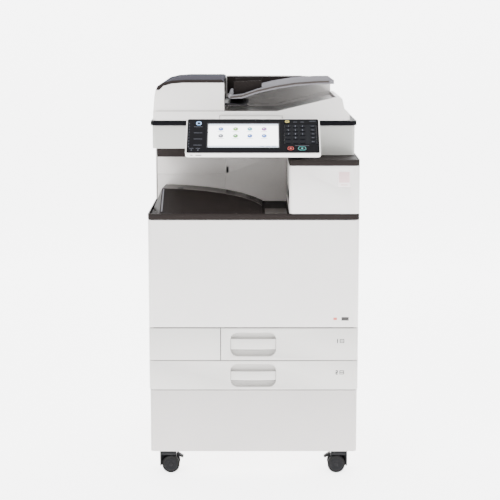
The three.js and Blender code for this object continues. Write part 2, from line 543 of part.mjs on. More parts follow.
// ---------------------------------------------------------------- document feeder
const BASE_Y = [SCAN_FRONT - 2, REAR - 45];
const BASE_X = [-HALF + 7, -HALF + FEEDER_WIDTH];
const WEDGE_RISE = 38; // exit pocket of the feeder, rising to the right
const WEDGE_X = [BASE_X[1] - 206, BASE_X[1] - 46];
const CHANNEL_WALL = 16;
const PAD_X = [GLASS_X[0] - 5, GLASS_X[1] - 2];
const PAD_Y = [GLASS_Y[0] - 5, GLASS_Y[1] + 5];
const PAD_Z = [Z_GLASS + 0.6, Z_GLASS + 5.6];

const baseSide = outline([
  [BASE_X[0], Z_FEEDER],
  [BASE_X[1], Z_FEEDER],
  [BASE_X[1] - 1.5, Z_HOUSING - 8],
  [BASE_X[1] - 7, Z_HOUSING - 1],
  [BASE_X[1] - 16, Z_HOUSING + 7],
  [BASE_X[1] - 22, Z_HOUSING + WEDGE_RISE - 3],
  [BASE_X[1] - 26, Z_HOUSING + WEDGE_RISE],
  [WEDGE_X[1], Z_HOUSING + WEDGE_RISE],
  [WEDGE_X[0], Z_HOUSING - FIT],
  [BASE_X[0], Z_HOUSING - FIT],
]);
const channelSide = outline([
  [HOUSING_RIGHT + 4, Z_FEEDER + 20],
  [WEDGE_X[0], Z_FEEDER + 20],
  [WEDGE_X[1], Z_HOUSING + WEDGE_RISE - 10],
  [BASE_X[1] - 38, Z_HOUSING + WEDGE_RISE - 10],
  [BASE_X[1] - 38, Z_HOUSING + 50],
  [HOUSING_RIGHT + 4, Z_HOUSING + 50],
]);
const baseCorners = alongZ(frontPlan(BASE_X, BASE_Y, 16, 12), [Z_FEEDER, Z_TOP]);
const channel = alongX(roundRect([BASE_Y[0] + CHANNEL_WALL, BASE_Y[1] - 50], [Z_FEEDER, Z_TOP], 1), BASE_X, 1);
const padSeat = box(inset(PAD_X, -FIT), inset(PAD_Y, -FIT), [Z_FEEDER - 1, PAD_Z[1] + FIT]);
const baseHollow = box(inset(PAD_X, 10), inset(PAD_Y, 10), [Z_FEEDER - 1, Z_FEEDER + 17]);
const knuckles = [-EAR_X, EAR_X].flatMap((x) => [
  box([x - EAR + 1, x + EAR - 1], [BASE_Y[1] - 1, PIN.y], [PIN.z - 8.5, PIN.z + 8.5]),
  bar("x", [x - EAR + 1, x + EAR - 1], [PIN.y, PIN.z], 8.5, 20),
]);
const liftLip = block([-95, 80], [BASE_Y[0] - 8, BASE_Y[0] + 2], [Z_FEEDER + 3, Z_FEEDER + 13], 4.5);
const lipHollow = box([-88, 73], [BASE_Y[0] - 5, BASE_Y[0]], [Z_FEEDER + 2, Z_FEEDER + 9]);
const pinBore = bar("x", [-HALF, HALF], [PIN.y, PIN.z], PIN.r + 0.6, 12);
const baseBody = cut(meet(alongY(baseSide, BASE_Y), baseCorners), meet(alongY(channelSide, BASE_Y), channel));
add("feeder_base", cut(join(cut(baseBody, padSeat, baseHollow), liftLip, ...knuckles), lipHollow, pinBore), WHITE);
add("platen_pad", block(PAD_X, PAD_Y, PAD_Z, 4), PAD);

const HOUSE_Y = [BASE_Y[0] + 4, BASE_Y[1] - 5];
const COVER_PIVOT = { x: -HALF + 16, z: Z_HOUSING + 60 }; // left edge of the feeder's top cover
const houseSide = outline([
  [BASE_X[0] + 1.5, Z_HOUSING],
  [HOUSING_RIGHT, Z_HOUSING],
  [HOUSING_RIGHT, Z_TOP - 10],
  [COVER_PIVOT.x + 76, Z_TOP - 10],
  [COVER_PIVOT.x + 46, Z_TOP - 12.6],
  [COVER_PIVOT.x + 22, Z_TOP - 19],
  [COVER_PIVOT.x + 11, COVER_PIVOT.z - FIT],
  [COVER_PIVOT.x - 0.5, COVER_PIVOT.z - FIT],
  [COVER_PIVOT.x - 4, Z_HOUSING + 40],
]);
const houseInner = box(
  [COVER_PIVOT.x + 14, HOUSING_RIGHT + 1],
  inset(HOUSE_Y, COVER),
  [Z_HOUSING + COVER, Z_TOP + 1],
);
const guideSide = outline([
  [COVER_PIVOT.x + 42, Z_HOUSING + 22],
  [HOUSING_RIGHT - 4, Z_HOUSING + 32],
  [HOUSING_RIGHT - 4, Z_HOUSING + 37],
  [COVER_PIVOT.x + 42, Z_HOUSING + 28],
]);
const rearSide = outline([
  [HOUSING_RIGHT - 1, Z_HOUSING],
  [WEDGE_X[0], Z_HOUSING],
  [WEDGE_X[1], Z_HOUSING + WEDGE_RISE + FIT],
  [WEDGE_X[1] + 10, Z_HOUSING + WEDGE_RISE + FIT],
  [WEDGE_X[1] + 10, Z_TOP - 12],
  [WEDGE_X[1] - 70, Z_TOP - 5],
  [HOUSING_RIGHT - 1, Z_TOP - 5],
]);
const REAR_BOX_Y = [HOUSE_Y[1] - 36, HOUSE_Y[1]];
const ROLLER = { x: HOUSING_RIGHT - 30, z: Z_HOUSING + 56, r: 14, shaft: 4 };
const housingShell = cut(alongY(houseSide, HOUSE_Y), houseInner);
const feedGuide = alongY(guideSide, inset(HOUSE_Y, 1));
const rearBox = alongY(rearSide, REAR_BOX_Y);
const shaftBore = bar("y", [HOUSE_Y[0] + 1, HOUSE_Y[1] - 1], [ROLLER.x, ROLLER.z], ROLLER.shaft + 0.6);
add("feeder_housing", cut(join(housingShell, feedGuide, rearBox), shaftBore), WHITE);

const rollerSpan = inset(HOUSE_Y, COVER + 3);
const tyres = [-110, 0, 110].map((dy) => {
  const y = (HOUSE_Y[0] + HOUSE_Y[1]) / 2 + dy;
  return bar("y", [y - 16, y + 16], [ROLLER.x, ROLLER.z], ROLLER.r, 20);
});
const shaft = bar("y", inset(HOUSE_Y, 1.6), [ROLLER.x, ROLLER.z], ROLLER.shaft);
const drive = bar("y", [rollerSpan[1] - 8, rollerSpan[1]], [ROLLER.x, ROLLER.z], 10, 18);
add("feed_roller", join(shaft, drive, ...tyres), RUBBER);

const coverSideUp = outline([
  [COVER_PIVOT.x, COVER_PIVOT.z],
  [COVER_PIVOT.x + 10, COVER_PIVOT.z],
  [COVER_PIVOT.x + 21.4, Z_TOP - 18.4],
  [COVER_PIVOT.x + 45.8, Z_TOP - 12],
  [COVER_PIVOT.x + 76, Z_TOP - 9.5],
  [HOUSING_RIGHT - 2, Z_TOP - 9.5],
  [HOUSING_RIGHT - 2, Z_TOP - 4],
  [HOUSING_RIGHT - 8, Z_TOP],
  [COVER_PIVOT.x + 82, Z_TOP],
  [COVER_PIVOT.x + 46, Z_TOP - 2.6],
  [COVER_PIVOT.x + 20, Z_TOP - 9],
  [COVER_PIVOT.x + 5, Z_TOP - 19],
]);
const coverPocket = box([COVER_PIVOT.x + 80, HOUSING_RIGHT - 9], inset(HOUSE_Y, 6), [Z_TOP - 12, Z_TOP - 3]);
add("feeder_cover", cut(alongY(coverSideUp, HOUSE_Y), coverPocket), GREY);

// The document tray is an arched plate, hinged at its left end.
const TRAY_PIVOT = { x: HOUSING_RIGHT + 17, z: Z_HOUSING + 42 };
const DOC_Y = [SCAN_FRONT + 18, REAR_BOX_Y[0] - 3];
const ARCH = [[0, 6], [34, 10], [75, 24], [127, 36], [183, 45], [251, 50], [296, 50.5]];
const archTop = ARCH.map(([dx, dz]) => [TRAY_PIVOT.x + dx, Z_HOUSING + 36 + dz]);
const archUnder = ARCH.map(([dx, dz]) => [TRAY_PIVOT.x + dx, Z_HOUSING + 28 + dz - Math.min(dx * 0.1, 3)]).reverse();
const docCorners = alongZ(
  frontPlan([TRAY_PIVOT.x - 10, TRAY_PIVOT.x + 296], DOC_Y, 1, 14),
  [Z_HOUSING, Z_TOP + 40],
);
const docPlate = meet(alongY(outline([...archTop, ...archUnder]), DOC_Y), docCorners);
const docBarrel = bar("y", DOC_Y, [TRAY_PIVOT.x, TRAY_PIVOT.z], 6);
const docMiddle = (DOC_Y[0] + DOC_Y[1]) / 2;
const docHalf = (DOC_Y[1] - DOC_Y[0]) / 2;
const docSlots = [-1, 1].map((side) => {
  const y = docMiddle + side * docHalf * 0.43;
  return box([TRAY_PIVOT.x + 50, TRAY_PIVOT.x + 58], [y - docHalf * 0.34, y + docHalf * 0.34], [Z_HOUSING, Z_TOP]);
});
add("document_tray", cut(join(docPlate, docBarrel), ...docSlots), GREY);

// Paper guides stand on the tray and slide together.
function fence(name, side) {
  const y = docMiddle + side * (docHalf - 48.5);
  const rise = [[8, 7.5], [34, 10.6], [75, 24.6], [90, 28.1]].map(([dx, dz]) => [
    TRAY_PIVOT.x + dx,
    Z_HOUSING + 36 + dz,
  ]);
  const wall = alongY(outline([...rise, [TRAY_PIVOT.x + 90, Z_TOP - 6], [TRAY_PIVOT.x + 10, Z_TOP - 9]]), [y - 2, y + 2]);
  const inward = -side;
  const foot = outline([...rise.slice(1, 3), ...rise.slice(1, 3).reverse().map(([x, z]) => [x, z + 3])]);
  const footY = [y, y + inward * 34].sort((a, b) => a - b);
  add(name, join(wall, alongY(foot, footY)), DARK);
}
fence("document_guide_front", -1);
fence("document_guide_rear", 1);

// ---------------------------------------------------------------- operation panel
const PANEL = { x: [-184.5, 181.5], length: 138, thick: 14, tilt: (39 * Math.PI) / 180, bottom: Z_LID + 41.8 };
const FACE = { x: [-181, 178], u: [2.5, 135.5], top: 0.5 };
const PIVOT = { y: FRONT + 20, z: Z_LID + 67 };

// Panel solids are drawn flat, u up the face and height along its normal, then tilted into place.
function tilt(shape) {
  return solid(geometryOf(shape).rotateX(PANEL.tilt).translate(0, FRONT - PANEL_REACH, PANEL.bottom));
}
const flatU = (PIVOT.y - FRONT + PANEL_REACH) * Math.cos(PANEL.tilt) + (PIVOT.z - PANEL.bottom) * Math.sin(PANEL.tilt);
const flatN = (PIVOT.z - PANEL.bottom) * Math.cos(PANEL.tilt) - (PIVOT.y - FRONT + PANEL_REACH) * Math.sin(PANEL.tilt);

const DISPLAY = { x: [-124, 67.5], u: [24, 116] };
const KEYPAD = { x: [84, 172], u: [37, 115] };
const KEYS = [
  { name: "start_key", x: 131, u: 18, half: [11, 7.5], material: GREEN },
  { name: "stop_key", x: 100, u: 18, half: [8.5, 7], material: RED },
  { name: "reset_key", x: 92, u: 123.5, half: [6.5, 5], material: YELLOW },
  { name: "home_key", x: -150, u: 116.5, half: [8, 8], material: GREY },
];
function keyBlock({ x, u, half: [w, h] }, gap, zs) {
  const r = Math.min(w, h) * 0.8 + gap;
  return alongZ(roundRect([x - w - gap, x + w + gap], [u - h - gap, u + h + gap], r), zs, 3);
}
const keyHoles = (zs, gap) => KEYS.map((key) => keyBlock(key, gap, zs));

const ARM_X = [60, 140];
const LUG = 11;
const lugs = [[ARM_X[0] - LUG - 1, ARM_X[0] - 1], [ARM_X[1] + 1, ARM_X[1] + LUG + 1]].map((xs) =>
  cut(
    join(box(xs, [flatU - 9, flatU + 9], [flatN, 1 - PANEL.thick]), bar("x", xs, [flatU, flatN], 9, 20)),
    bar("x", inset(xs, -1), [flatU, flatN], 4.6),
  ),
);
const panelBlock = block(PANEL.x, [0, PANEL.length], [-PANEL.thick, 0], 8);
const faceSeat = block(FACE.x, FACE.u, [-2.5, 1], 5);
add("panel_housing", tilt(join(cut(panelBlock, faceSeat, ...keyHoles([-9, 0], 0.6)), ...lugs)), WHITE);

const faceplate = block(inset(FACE.x, FIT), inset(FACE.u, FIT), [-2, FACE.top], 4.5);
const displayHole = block(DISPLAY.x, DISPLAY.u, [-3, 2], 2);
const keypadHole = block(KEYPAD.x, KEYPAD.u, [-3, 2], 3);
add("panel_face", tilt(cut(faceplate, displayHole, keypadHole, ...keyHoles([-3, 2], 0.6))), BLACK);
add("touch_display", tilt(block(inset(DISPLAY.x, FIT), inset(DISPLAY.u, FIT), [-2, 0.2], 1.5)), SCREEN);

const digitKeys = [44, 60, 75, 90, 106].flatMap((u) =>
  [94.5, 114, 133.5].map((x) => box([x - 7, x + 7], [u - 4.5, u + 4.5], [-1, 1.6])),
);
const sideKeys = [44, 60, 75, 90, 106].map((u) => box([155, 168], [u - 3.5, u + 3.5], [-1, 1.6]));
const keyMat = block(inset(KEYPAD.x, FIT), inset(KEYPAD.u, FIT), [-2, 0], 2.5);
add("number_keys", tilt(join(keyMat, ...digitKeys, ...sideKeys)), KEY);
for (const key of KEYS) add(key.name, tilt(keyBlock(key, 0, [-6, 2])), key.material);

const armSide = outline([
  [SCAN_FRONT - FIT, PIVOT.z + 24],
  [PIVOT.y + 30, PIVOT.z + 12],
  [PIVOT.y, PIVOT.z + 8.9],
  [PIVOT.y, PIVOT.z - 8.9],
  [PIVOT.y + 50, PIVOT.z - 26],
  [SCAN_FRONT - FIT, PIVOT.z - 34],
]);
add(
  "panel_arm",
  join(
    alongX(armSide, ARM_X),
    bar("x", ARM_X, [PIVOT.y, PIVOT.z], 9, 20),
    bar("x", inset(ARM_X, -LUG - 2), [PIVOT.y, PIVOT.z], 4, 12),
  ),
  DARK,
);

// ---------------------------------------------------------------- print engine
const DRUM_PITCH = WIDTH * 0.153;
const BOTTLE_PITCH = WIDTH * 0.128;
const ENGINE_X = -WIDTH * 0.23; // second of the four stations
const ENGINE_REAR = REAR - 200;
const level = (share) => Z_COVER + FRONT_COVER_HEIGHT * share; // height in the engine bay
const BOTTLE = { r: FRONT_COVER_HEIGHT * 0.102, z: level(0.862), y: [FRONT + 45, ENGINE_REAR - 25] };
const DRUM_Z = [level(0.25), level(0.545)];
const BELT = { x: [-WIDTH * 0.392, WIDTH * 0.366], z: [level(0.566), level(0.714)], y: [FRONT + 60, ENGINE_REAR] };
const STATIONS = [["black", BLACK], ["cyan", CYAN], ["magenta", MAGENTA], ["yellow", YELLOW]];

STATIONS.forEach(([ink, material], i) => {
  const x = ENGINE_X + (i - 1) * BOTTLE_PITCH;
  const cap = bar("y", [BOTTLE.y[0] - 8, BOTTLE.y[0] + 1], [x, BOTTLE.z], BOTTLE.r - 6, 24);
  const grip = box([x - 3, x + 3], [BOTTLE.y[0] - 12, BOTTLE.y[0] - 7], [BOTTLE.z - 18, BOTTLE.z + 18]);
  add(`toner_bottle_${ink}`, join(bar("y", BOTTLE.y, [x, BOTTLE.z], BOTTLE.r, 24), cap, grip), material);
});

// One drum with its developer housing and pull, at the left edge given.
function drumUnit(left) {
  const side = outline([
    [left, DRUM_Z[0]],
    [left + 56, DRUM_Z[0]],
    [left + 74, DRUM_Z[0] + 34],
    [left + 62, DRUM_Z[1] - 18],
    [left + 14, DRUM_Z[1] - 18],
    [left, DRUM_Z[0] + 44],
  ]);
  const drum = bar("y", [FRONT + 64, ENGINE_REAR - 14], [left + 40, DRUM_Z[1] - 22], 18, 24);
  const pull = box([left + 20, left + 50], [FRONT + 46, FRONT + 54], [DRUM_Z[0] + 16, DRUM_Z[0] + 30]);
  return join(alongY(side, [FRONT + 53, ENGINE_REAR]), drum, pull);
}
const drumLefts = [0, 1, 2, 3].map((i) => ENGINE_X + (i - 0.9) * DRUM_PITCH);
const drawer = box([drumLefts[1] + 10, drumLefts[3] + 40], [FRONT + 53, FRONT + 58], [DRUM_Z[0] + 4, DRUM_Z[0] + 40]);
add("drum_unit_black", drumUnit(drumLefts[0]), BLACK);
add("drum_unit_colour", join(drawer, ...drumLefts.slice(1).map(drumUnit)), BLACK);

const beltSide = roundRect(BELT.x, BELT.z, (BELT.z[1] - BELT.z[0]) / 2 - 0.01);
const beltCarrier = box(inset(BELT.x, 30), [BELT.y[0] - 8, BELT.y[0] + 1], inset(BELT.z, 8));
add("transfer_belt_unit", join(alongY(beltSide, BELT.y, 5), beltCarrier), DARK);

const LASER_X = [-WIDTH * 0.392, WIDTH * 0.29];
const laser = block(LASER_X, [FRONT + 80, ENGINE_REAR], [Z_COVER + SHEET + 4, level(0.21)], 8);
const laserSlots = [0, 1, 2, 3].map((i) => {
  const x = LASER_X[0] + 40 + i * DRUM_PITCH;
  return box([x, x + 12], [FRONT + 100, ENGINE_REAR - 20], [level(0.21) - 4, level(0.21) + 1]);
});
add("laser_unit", cut(laser, ...laserSlots), STEEL);

const FUSER = { x: [TOWER_X + 86, TOWER_X + 163], y: [FRONT + 52, FRONT + 338], z: [Z_TOWER - 4, Z_TOWER + 100] };
const fuserSide = outline([
  [FUSER.x[0], FUSER.z[0] + 12],
  [FUSER.x[0] + 12, FUSER.z[0]],
  [FUSER.x[1], FUSER.z[0]],
  [FUSER.x[1], FUSER.z[1] - 20],
  [FUSER.x[1] - 20, FUSER.z[1]],
  [FUSER.x[0], FUSER.z[1]],
]);
const nip = box([FUSER.x[0] + 34, FUSER.x[0] + 42], inset(FUSER.y, 20), [FUSER.z[0] - 1, FUSER.z[1] + 1]);
const fuserGrip = box(inset(FUSER.x, 22), [FUSER.y[0] - 6, FUSER.y[0] + 1], [FUSER.z[0] + 40, FUSER.z[0] + 56]);
add("fuser_unit", join(cut(alongY(fuserSide, FUSER.y), nip), fuserGrip), DARK);

const EXIT = { x: TOWER_X + 14, z: Z_DECK + 51, r: 9 };
const exitTyres = [60, 130, 200, 270].map((dy) =>
  bar("y", [EXIT_Y[0] + dy - 38, EXIT_Y[0] + dy - 18], [EXIT.x, EXIT.z], EXIT.r, 18),
);
add("exit_roller", join(bar("y", inset(EXIT_Y, 2), [EXIT.x, EXIT.z], 4, 12), ...exitTyres), RUBBER);

export default copier;
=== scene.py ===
import math

import bmesh
import bpy
from mathutils import Matrix, Vector


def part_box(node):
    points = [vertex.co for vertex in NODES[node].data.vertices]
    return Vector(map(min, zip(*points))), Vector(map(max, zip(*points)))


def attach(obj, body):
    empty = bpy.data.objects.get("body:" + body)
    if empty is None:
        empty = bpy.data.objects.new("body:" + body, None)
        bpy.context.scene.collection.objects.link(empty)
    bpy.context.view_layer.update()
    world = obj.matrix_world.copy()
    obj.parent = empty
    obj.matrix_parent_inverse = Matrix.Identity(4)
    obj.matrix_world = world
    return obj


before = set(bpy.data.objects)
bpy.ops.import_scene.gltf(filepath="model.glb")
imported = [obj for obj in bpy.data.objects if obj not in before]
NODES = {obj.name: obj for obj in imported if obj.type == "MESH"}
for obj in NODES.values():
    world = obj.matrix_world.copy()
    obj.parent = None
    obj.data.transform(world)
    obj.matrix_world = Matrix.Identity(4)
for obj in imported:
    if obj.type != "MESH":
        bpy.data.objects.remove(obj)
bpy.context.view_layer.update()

FRONT = -0.2575
HALF = 0.2935

# ---------------------------------------------------------------- camera
CAMERA_AWAY = 3.859
CAMERA_HEIGHT = 1.276
CAMERA_DIP = 8.22  # degrees below level
camera_data = bpy.data.cameras.new("camera")
camera_data.lens = 101.4
camera_data.sensor_width = 36.0
camera_data.shift_x = -0.0072
camera_data.shift_y = -0.05
camera = bpy.data.objects.new("camera", camera_data)
camera.location = (0.0, FRONT - CAMERA_AWAY, CAMERA_HEIGHT)
camera.rotation_euler = (math.radians(90.0 - CAMERA_DIP), 0.0, 0.0)
bpy.context.scene.collection.objects.link(camera)
bpy.context.scene.camera = camera


# ---------------------------------------------------------------- materials
def srgb(r, g, b):
    """Linear colour of an sRGB colour given as 0 to 255."""
    shares = [v / 255.0 for v in (r, g, b)]
    return tuple(v / 12.92 if v < 0.039 else ((v + 0.055) / 1.055) ** 2.4 for v in shares) + (1.0,)


def node(tree, kind, **inputs):
    n = tree.nodes.new(kind)
    for key, value in inputs.items():
        n.inputs[key.replace("_", " ")].default_value = value
    return n


def ramp(tree, factor, low, high):
    """Mixes two values or colours by a 0 to 1 factor."""
    mix = tree.nodes.new("ShaderNodeMix")
    colour = isinstance(low, tuple)
    mix.data_type = "RGBA" if colour else "FLOAT"
    first = 6 if colour else 2
    mix.inputs[first].default_value = low
    mix.inputs[first + 1].default_value = high
    tree.links.new(factor, mix.inputs[0])
    return mix.outputs[2 if colour else 0]


def surface(name, colour, rough, metallic=0.0, grain=1100.0, depth=0.12, wear=0.05, coat=0.0, specular=0.5):
    """A finish with fine grain in relief, uneven gloss and a slight cloud of colour."""
    material = bpy.data.materials.new(name)
    material.use_nodes = True
    tree = material.node_tree
    shader = tree.nodes["Principled BSDF"]
    place = tree.nodes.new("ShaderNodeTexCoord")
    cloud = node(tree, "ShaderNodeTexNoise", Scale=7.0, Detail=4.0, Roughness=0.6)
    tree.links.new(place.outputs["Object"], cloud.inputs["Vector"])
    fine = node(tree, "ShaderNodeTexNoise", Scale=grain, Detail=2.0)
    tree.links.new(place.outputs["Object"], fine.inputs["Vector"])
    shade = tuple(c * (1.0 - wear) for c in colour[:3]) + (1.0,)
    light = tuple(min(c * (1.0 + wear), 1.0) for c in colour[:3]) + (1.0,)
    tree.links.new(ramp(tree, cloud.outputs["Fac"], shade, light), shader.inputs["Base Color"])
    gloss = ramp(tree, fine.outputs["Fac"], rough * 0.88, min(rough * 1.12, 1.0))
    tree.links.new(gloss, shader.inputs["Roughness"])
    relief = node(tree, "ShaderNodeBump", Strength=depth, Distance=0.0002)
    tree.links.new(fine.outputs["Fac"], relief.inputs["Height"])
    tree.links.new(relief.outputs["Normal"], shader.inputs["Normal"])
    shader.inputs["Metallic"].default_value = metallic
    shader.inputs["Coat Weight"].default_value = coat
    shader.inputs["Specular IOR Level"].default_value = specular
    return material


def lit(name, colour, glow):
    """A back-lit surface: the same cloud of colour, giving light."""
    material = surface(name, colour, 0.12, depth=0.0, wear=0.02)
    shader = material.node_tree.nodes["Principled BSDF"]
    source = shader.inputs["Base Color"].links[0].from_socket
    material.node_tree.links.new(source, shader.inputs["Emission Color"])
    shader.inputs["Emission Strength"].default_value = glow
    return material


WHITE = surface("white_cover", srgb(212, 209, 207), 0.45, specular=0.3)
# The scanner case: the cover white painted darker, as painted shade.
SHADED_CASE_WHITE = surface("shaded_white_case", srgb(172, 172, 168), 0.45, specular=0.25)
TRAY_WHITE = surface("white_tray", srgb(197, 195, 192), 0.45, specular=0.3)
CABINET = surface("powder_coat", srgb(190, 186, 184), 0.5, grain=1600.0, depth=0.2, specular=0.3)
FEEDER = surface("white_feeder", srgb(208, 205, 203), 0.45, specular=0.3)
GREY_TOP = surface("grey_top", srgb(66, 65, 71), 0.55, specular=0.0)
MID_GREY = surface("mid_grey", srgb(108, 107, 111), 0.55, specular=0.0)
WALL_GREY = surface("wall_grey", srgb(206, 202, 199), 0.5, specular=0.2)
CHARCOAL = surface("charcoal", srgb(32, 28, 27), 0.6, depth=0.2, specular=0.05)
BLACK = surface("satin_black", srgb(12, 12, 15), 0.4, depth=0.03, specular=0.03)
KEYS = surface("key_rubber", srgb(17, 18, 22), 0.45, depth=0.08, specular=0.05)
NYLON = surface("black_nylon", srgb(18, 18, 20), 0.45, specular=0.15)
RUBBER = surface("rubber", srgb(22, 22, 22), 0.75, specular=0.15, grain=700.0, depth=0.35, wear=0.15)
STEEL = surface("zinc_steel", srgb(176, 178, 180), 0.35, metallic=1.0, grain=260.0, depth=0.05, wear=0.1)
PAD = surface("white_pad", srgb(240, 240, 238), 0.85, grain=900.0, depth=0.3)
INK = surface("print_light", srgb(96, 98, 106), 0.5, depth=0.02, specular=0.05)
INK_DARK = surface("print_dark", srgb(40, 40, 43), 0.5, depth=0.02, specular=0.1)
# Grey of the front cover seals, also used for the painted shadow line round the feeder lip.
SEAL_AND_SHADOW_GREY = surface("seal_and_shadow_grey", srgb(62, 60, 60), 0.4, specular=0.15)
BADGE = surface("reader_mark", srgb(204, 176, 178), 0.4, depth=0.05, specular=0.2)
BADGE_EDGE = surface("reader_edge", srgb(222, 214, 214), 0.4, depth=0.05, specular=0.2)
SCREEN = lit("screen", srgb(246, 249, 252), 3.0)

glass = surface("platen_glass", srgb(200, 214, 212), 0.03, depth=0.0, wear=0.02, coat=0.5)
glass.node_tree.nodes["Principled BSDF"].inputs["Transmission Weight"].default_value = 0.85

TONER = {
    "black": surface("toner_black", srgb(38, 38, 40), 0.4),
    "cyan": surface("toner_cyan", srgb(50, 150, 195), 0.4),
    "magenta": surface("toner_magenta", srgb(190, 60, 120), 0.4),
    "yellow": surface("toner_yellow", srgb(222, 196, 60), 0.4),
}

FINISH = {
    "cabinet_shell": CABINET, "engine_frame": STEEL, "left_cover": WHITE, "right_cover": WHITE,
    "rear_cover": WHITE, "power_inlet": NYLON, "tray_1": TRAY_WHITE, "tray_2": TRAY_WHITE,
    "tray_1_lift_plate": STEEL, "tray_2_lift_plate": STEEL, "tray_bay_cover": TRAY_WHITE,
    "front_cover": WHITE, "right_door": WHITE, "bypass_tray": WHITE, "output_tray": CHARCOAL,
    "inner_wall": WALL_GREY, "exit_tower_cover": WHITE, "exit_tower_lid": CHARCOAL,
    "scanner_case": SHADED_CASE_WHITE, "cavity_ceiling": CHARCOAL, "scanner_top_frame": BLACK,
    "exposure_glass": glass, "scan_carriage": STEEL, "feeder_base": FEEDER, "platen_pad": PAD,
    "feeder_housing": FEEDER, "feed_roller": RUBBER, "feeder_cover": GREY_TOP, "document_tray": MID_GREY,
    "document_guide_front": CHARCOAL, "document_guide_rear": CHARCOAL, "panel_housing": WHITE,
    "panel_face": BLACK, "touch_display": SCREEN, "number_keys": KEYS, "start_key": KEYS,
    "stop_key": KEYS, "reset_key": KEYS, "home_key": KEYS, "panel_arm": CHARCOAL,
    "drum_unit_black": NYLON, "drum_unit_colour": NYLON, "transfer_belt_unit": NYLON, "laser_unit": STEEL,
    "fuser_unit": CHARCOAL, "exit_roller": RUBBER,
}
for ink, material in TONER.items():
    FINISH["toner_bottle_" + ink] = material
CORNERS = ("front_left", "front_right", "rear_left", "rear_right")
for corner in CORNERS:
    FINISH["caster_body_" + corner] = NYLON
    FINISH["caster_wheels_" + corner] = RUBBER
    FINISH["brake_lever_" + corner] = NYLON


# ---------------------------------------------------------------- CAD nodes: soft edges
def smooth_group():
    """Geometry nodes that shade smoothly across every edge flatter than 35 degrees."""
    group = bpy.data.node_groups.new("smooth_by_angle", "GeometryNodeTree")
    group.interface.new_socket("Geometry", in_out="INPUT", socket_type="NodeSocketGeometry")
    group.interface.new_socket("Geometry", in_out="OUTPUT", socket_type="NodeSocketGeometry")
    start = group.nodes.new("NodeGroupInput")
    end = group.nodes.new("NodeGroupOutput")
    faces = group.nodes.new("GeometryNodeSetShadeSmooth")
    faces.domain = "FACE"
    edges = group.nodes.new("GeometryNodeSetShadeSmooth")
    edges.domain = "EDGE"
    angle = group.nodes.new("GeometryNodeInputMeshEdgeAngle")
    limit = group.nodes.new("FunctionNodeCompare")
    limit.operation = "LESS_THAN"
    limit.inputs[1].default_value = math.radians(35.0)
    group.links.new(start.outputs[0], faces.inputs["Geometry"])
    group.links.new(faces.outputs[0], edges.inputs["Geometry"])
    group.links.new(angle.outputs["Unsigned Angle"], limit.inputs[0])
    group.links.new(limit.outputs[0], edges.inputs["Shade Smooth"])
    group.links.new(edges.outputs[0], end.inputs[0])
    return group


SMOOTH = smooth_group()


def soften(obj, width, segments=2):
    """Merges facets into flat faces, rounds the edges and shades smoothly; with no width it only shades."""
    if not width:
        obj.modifiers.new("shade", "NODES").node_group = SMOOTH
        return
    weld = obj.modifiers.new("weld", "WELD")
    weld.merge_threshold = 0.00002
    dissolve = obj.modifiers.new("flat_faces", "DECIMATE")
    dissolve.decimate_type = "DISSOLVE"
    dissolve.angle_limit = math.radians(0.8)
    bevel = obj.modifiers.new("edges", "BEVEL")
    bevel.width = width
    bevel.segments = segments
    bevel.limit_method = "ANGLE"
    bevel.angle_limit = math.radians(38.0)
    bevel.use_clamp_overlap = True
    bevel.miter_outer = "MITER_ARC"
    shade = obj.modifiers.new("shade", "NODES")
    shade.node_group = SMOOTH


# Edge radii that differ from the usual one.
USUAL_EDGE = 0.0007
EDGE = {
    "cabinet_shell": 0.0015, "front_cover": 0.0018, "tray_1": 0.0012, "tray_2": 0.0012,
    "tray_bay_cover": 0.0012, "exit_tower_cover": 0.0009, "feeder_base": 0.0020, "feeder_housing": 0.0012,
    "feeder_cover": 0.0014, "panel_housing": 0.0024, "scanner_case": 0.0012, "document_tray": 0.0014,
    "output_tray": 0.0012, "scanner_top_frame": 0.001,
}

# Pieces with many holes or steps keep their own faces.
UNMERGED = ("number_keys", "panel_face", "rear_cover", "engine_frame", "drum_unit_colour", "drum_unit_black")
EDGE.update({name: 0.0 for name in UNMERGED})
for name, obj in NODES.items():
    obj.data.materials.clear()
    obj.data.materials.append(FINISH[name])
    soften(obj, EDGE.get(name, USUAL_EDGE))


# ---------------------------------------------------------------- added pieces
def piece(name, body, materials, build, edge=0.0, at=None):
    """A mesh drawn by build(bm), optionally moved by a matrix, that rides on a CAD body."""
    bm = bmesh.new()
    build(bm)
    if at is not None:
        bmesh.ops.transform(bm, matrix=at, verts=bm.verts)
    bmesh.ops.recalc_face_normals(bm, faces=bm.faces)
    mesh = bpy.data.meshes.new(name)
    bm.to_mesh(mesh)
    bm.free()
    for material in materials:
        mesh.materials.append(material)
    obj = bpy.data.objects.new(name, mesh)
    bpy.context.scene.collection.objects.link(obj)
    if edge:
        soften(obj, edge)
    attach(obj, body)
    return obj


def add_box(bm, x, y, z, material=0):
    """A box between two values on each axis."""
    size = Matrix.Diagonal((x[1] - x[0], y[1] - y[0], z[1] - z[0], 1.0))
    place = Matrix.Translation(((x[0] + x[1]) / 2, (y[0] + y[1]) / 2, (z[0] + z[1]) / 2))
    made = bmesh.ops.create_cube(bm, size=1.0, matrix=place @ size)
    for face in {f for v in made["verts"] for f in v.link_faces}:
        face.material_index = material


def add_disc(bm, centre, radius, height, turn=None, sides=32, material=0, top=None):
    """A short cylinder standing on its centre along Z, or turned by a matrix."""
    lift = Matrix.Translation((0, 0, height / 2))
    place = Matrix.Translation(centre) @ (turn or Matrix.Identity(4)) @ lift
    made = bmesh.ops.create_cone(
        bm, cap_ends=True, segments=sides, radius1=radius, radius2=top or radius, depth=height, matrix=place
    )
    for face in {f for v in made["verts"] for f in v.link_faces}:
        face.material_index = material


